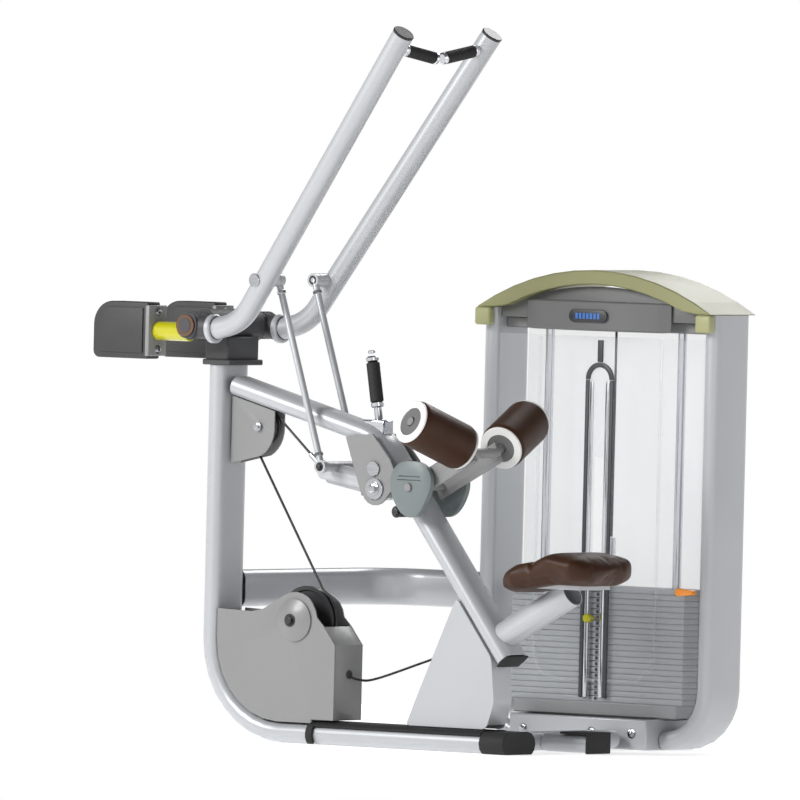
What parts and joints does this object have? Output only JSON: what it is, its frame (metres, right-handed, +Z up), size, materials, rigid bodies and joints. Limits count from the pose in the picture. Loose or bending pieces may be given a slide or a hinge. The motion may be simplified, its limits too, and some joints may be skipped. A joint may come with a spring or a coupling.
{
  "type": "lat pulldown machine",
  "caption": "Selectorised lat pulldown machine: counterweighted overhead press-down arms drive a rocker and cable to a shrouded weight tower, with seat and thigh rollers.",
  "frame": {"origin": "on the floor at the flat underside of the base tube, in the machine's main plane, half a metre from the column", "axes": "+Z up, +X from the column towards the seat, +Y from the bench side to the weight tower"},
  "size_m": [1.691, 1.1285, 1.9763],
  "materials": {
    "frame_paint": "satin silver-grey powder coat",
    "bracket_steel": "satin mid-grey powder coat",
    "casting_grey": "dark grey textured paint",
    "black_rubber": "matt moulded rubber",
    "pad_vinyl": "dark brown upholstery vinyl",
    "chrome_steel": "bright chrome",
    "stack_iron": "black painted cast iron",
    "weight_iron": "dark grey painted cast iron",
    "yellow_paint": "gloss yellow",
    "orange_plastic": "gloss orange",
    "khaki_plastic": "moulded khaki ABS",
    "header_plastic": "moulded dark grey ABS",
    "cover_plastic": "moulded grey-green ABS",
    "clear_shield": "clear polycarbonate",
    "pulley_nylon": "machined nylon",
    "cable_steel": "nylon coated steel cable"
  },
  "bodies": {
    "frame": {"column_and_base_tube": "frame_paint", "crossbar_tube": "frame_paint", "sloped_beam": "frame_paint", "rear_cross_tube": "frame_paint", "rear_foot": "frame_paint", "seat_post": "frame_paint", "tower_left_frame": "frame_paint", "tower_right_frame": "frame_paint", "tower_base": "frame_paint", "seat_support": "frame_paint", "rear_panel": "clear_shield", "tower_top_bar": "bracket_steel", "stack_base": "bracket_steel", "lower_pulley_housing": "bracket_steel", "upper_pulley_housing": "bracket_steel", "left_gusset": "bracket_steel", "right_gusset": "bracket_steel", "pivot_head": "casting_grey", "base_boot": "black_rubber", "base_tread": "black_rubber", "stop_bumper": "black_rubber", "seat_pad": "pad_vinyl", "front_shield": "clear_shield", "header_panel": "header_plastic", "tower_top_cover": "khaki_plastic", "left_guide_rod": "chrome_steel", "right_guide_rod": "chrome_steel", "resting_plates": "stack_iron", "frame_cable": "cable_steel", "rocker_axle": "chrome_steel", "adjust_lever": "chrome_steel", "lever_grip": "black_rubber"},
    "left_arm": {"left_arm_tube": "frame_paint", "left_hub": "casting_grey", "left_balance_tube": "yellow_paint", "left_counterweight": "weight_iron", "left_handle_grip": "black_rubber"},
    "right_arm": {"right_arm_tube": "frame_paint", "right_hub": "casting_grey", "right_balance_tube": "yellow_paint", "right_counterweight": "weight_iron", "right_handle_grip": "black_rubber"},
    "left_rod": {"left_push_rod": "frame_paint"},
    "right_rod": {"right_push_rod": "frame_paint"},
    "rocker": {"rocker_body": "frame_paint", "rocker_cable": "cable_steel"},
    "upper_wheel": {"upper_pulley": "pulley_nylon"},
    "lower_wheel": {"lower_pulley": "pulley_nylon"},
    "lifted_stack": {"lifted_plates": "stack_iron", "selector_rod": "chrome_steel", "stack_cable": "cable_steel"},
    "pin": {"selector_pin": "yellow_paint"},
    "thigh_pads": {"thigh_pad_frame": "bracket_steel", "left_pivot_cover": "cover_plastic", "right_pivot_cover": "cover_plastic"},
    "left_roller": {"left_thigh_roller": "pad_vinyl"},
    "right_roller": {"right_thigh_roller": "pad_vinyl"},
    "button": {"release_button": "chrome_steel"},
    "increment": {"increment_lever": "orange_plastic"}
  },
  "joints": [
    {"name": "left_arm_swing", "type": "hinge", "parent": "frame", "child": "left_arm", "pos_m": [-0.506, -0.148, 1.141], "axis": [0, 1, 0], "range_deg": [0, 50]},
    {"name": "right_arm_swing", "type": "hinge", "parent": "frame", "child": "right_arm", "pos_m": [-0.506, 0.148, 1.141], "axis": [0, 1, 0], "range_deg": [0, 50]},
    {"name": "left_rod_pivot", "type": "hinge", "parent": "left_arm", "child": "left_rod", "pos_m": [-0.269, -0.08, 1.273], "axis": [0, 1, 0], "range_deg": [-56.96, 0.5]},
    {"name": "right_rod_pivot", "type": "hinge", "parent": "right_arm", "child": "right_rod", "pos_m": [-0.269, 0.08, 1.273], "axis": [0, 1, 0], "range_deg": [-56.96, 0.5]},
    {"name": "rocker_swing", "type": "hinge", "parent": "frame", "child": "rocker", "pos_m": [0.074, 0, 0.711], "axis": [0, 1, 0], "range_deg": [-73.12, 0.5], "deforming": ["rocker_cable"]},
    {"name": "upper_pulley_spin", "type": "hinge", "parent": "frame", "child": "upper_wheel", "pos_m": [-0.371, 0, 0.866], "axis": [0, 1, 0], "range_deg": [-5, 265]},
    {"name": "lower_pulley_spin", "type": "hinge", "parent": "frame", "child": "lower_wheel", "pos_m": [-0.198, 0, 0.339], "axis": [0, 1, 0], "range_deg": [-150, 5]},
    {"name": "stack_lift", "type": "slide", "parent": "frame", "child": "lifted_stack", "axis": [0, 0, 1], "range_m": [-0.001, 0.248], "deforming": ["stack_cable"]},
    {"name": "pin_pull", "type": "slide", "parent": "lifted_stack", "child": "pin", "axis": [0, -1, 0], "range_m": [0, 0.1]},
    {"name": "thigh_pad_tilt", "type": "hinge", "parent": "frame", "child": "thigh_pads", "pos_m": [0.215, 0, 0.72], "axis": [0, 1, 0], "range_deg": [-25, 20]},
    {"name": "left_roller_spin", "type": "hinge", "parent": "thigh_pads", "child": "left_roller", "pos_m": [0.399, -0.052, 0.819], "axis": [-0.2184, -0.9037, 0.3683], "continuous": true},
    {"name": "right_roller_spin", "type": "hinge", "parent": "thigh_pads", "child": "right_roller", "pos_m": [0.399, 0.052, 0.819], "axis": [-0.2184, 0.9037, 0.3683], "continuous": true},
    {"name": "release_button_press", "type": "slide", "parent": "frame", "child": "button", "axis": [0.169, 0, -0.9856], "range_m": [0, 0.005], "stiffness_N_per_m": 300},
    {"name": "increment_lever_turn", "type": "hinge", "parent": "frame", "child": "increment", "pos_m": [0.584, 0.656, 0.439], "axis": [0, 1, 0], "range_deg": [-90, 0]}
  ],
  "couplings": [
    {"joint": "right_arm_swing", "follows": "left_arm_swing", "ratio": 1},
    {"joint": "left_rod_pivot", "follows": "left_arm_swing", "ratio": -1.1292},
    {"joint": "right_rod_pivot", "follows": "left_arm_swing", "ratio": -1.1292},
    {"joint": "rocker_swing", "follows": "left_arm_swing", "ratio": -1.4524},
    {"joint": "upper_pulley_spin", "follows": "left_arm_swing", "ratio": 5.2318},
    {"joint": "lower_pulley_spin", "follows": "left_arm_swing", "ratio": -2.8852},
    {"joint": "stack_lift", "follows": "left_arm_swing", "m_per_rad": 0.28304}
  ]
}
